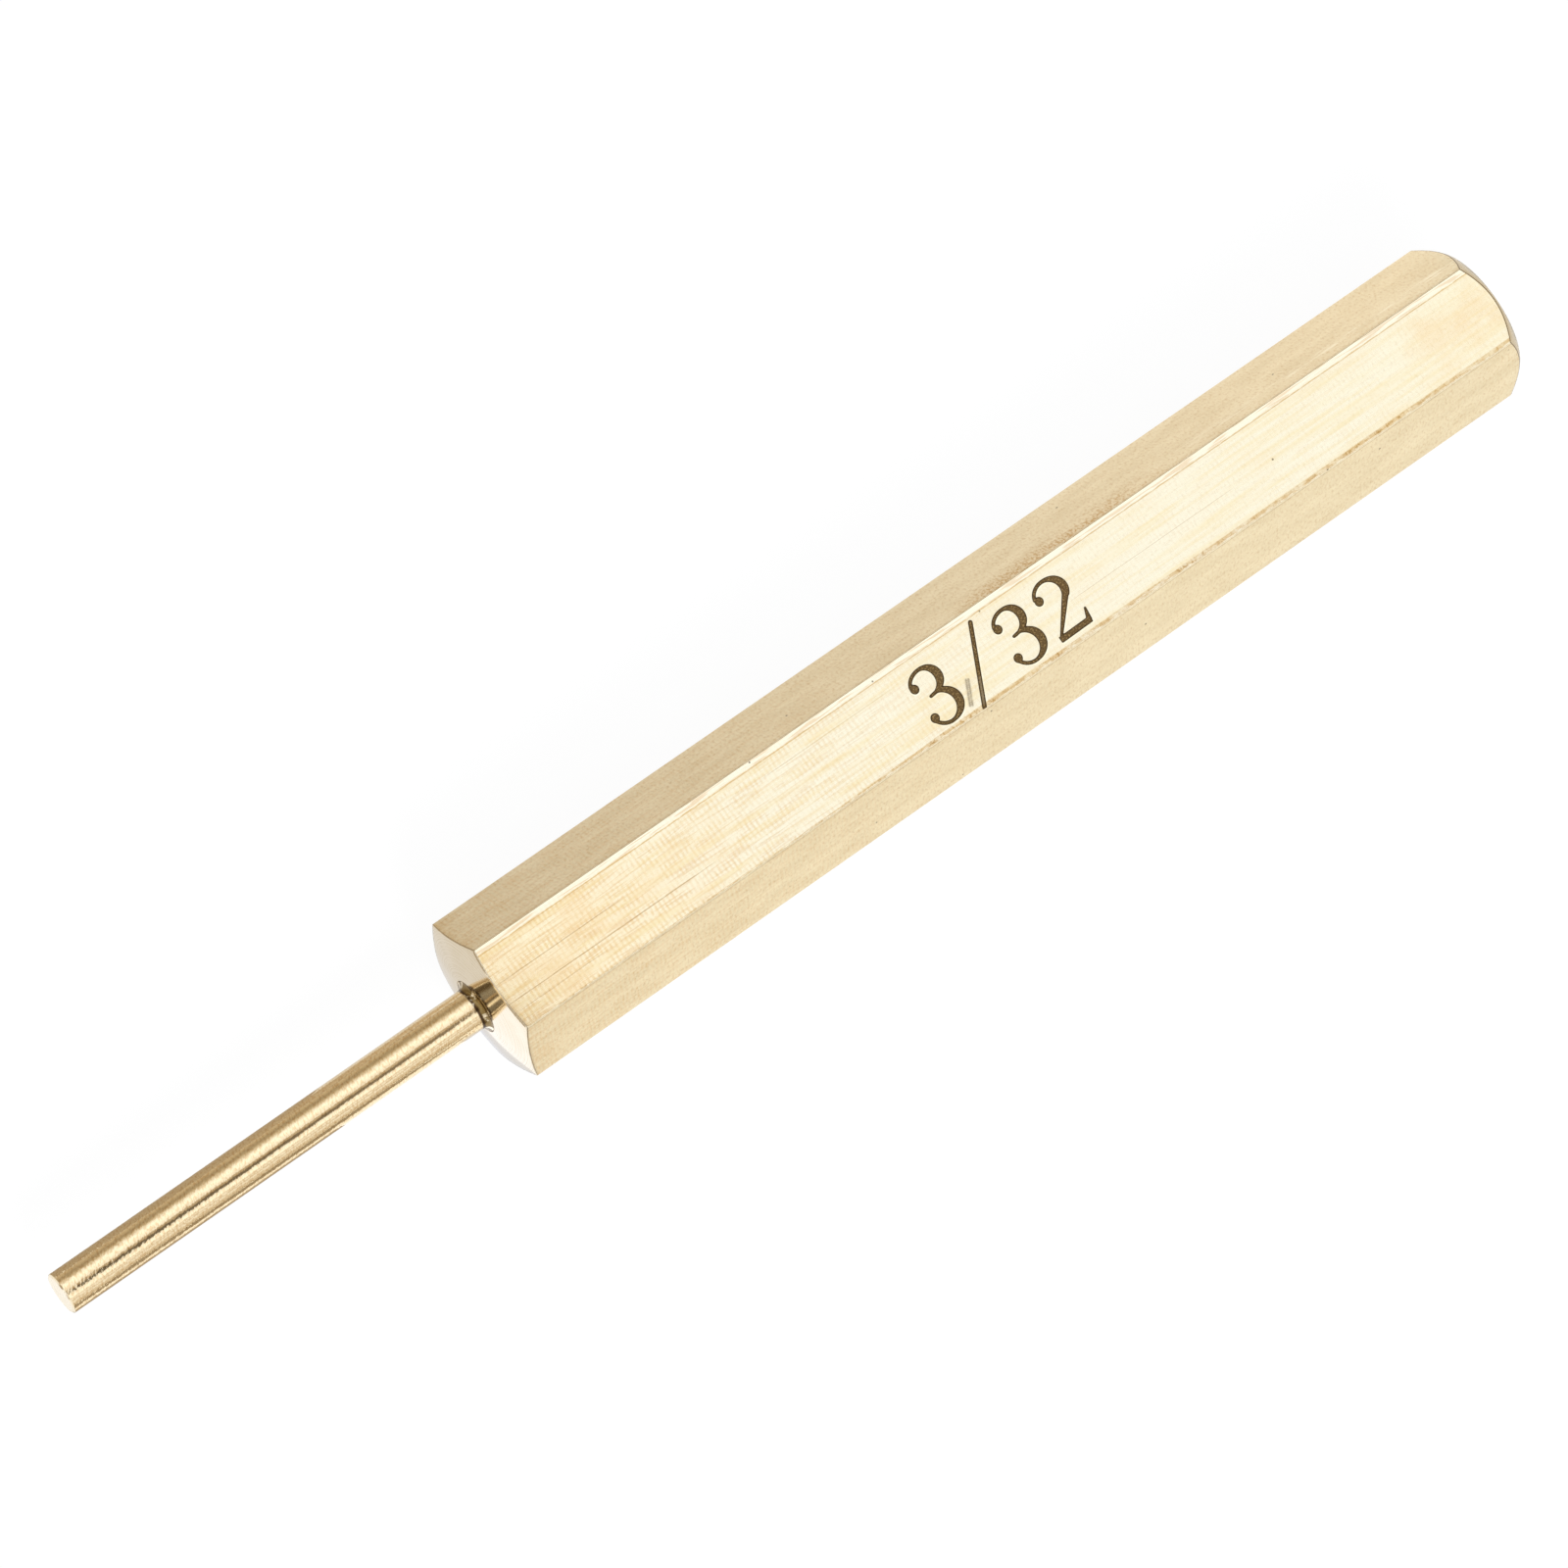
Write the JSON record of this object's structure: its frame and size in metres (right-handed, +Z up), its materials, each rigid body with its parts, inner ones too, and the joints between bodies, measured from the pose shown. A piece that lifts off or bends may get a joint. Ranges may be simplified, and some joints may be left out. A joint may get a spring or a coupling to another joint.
{
  "type": "pin punch",
  "caption": "Hexagonal brass hand punch with a slim round pin at its front end and a chamfered face to strike, lying on one flat.",
  "frame": {"origin": "on the surface that the punch lies on, under the middle of its length", "axes": "X along the punch with the pin's tip at -X and the struck face at +X, +Z up from the flat it lies on to the flat with the size number"},
  "size_m": [0.0908, 0.0092, 0.008],
  "materials": {
    "drawn_brass": "drawn hex bar, bright and dry, fine lines along its length, light tarnish",
    "turned_brass": "turned, fine rings, semi-bright"
  },
  "bodies": {
    "root": {"hex_body": "drawn_brass", "punch_pin": "turned_brass"}
  },
  "joints": []
}
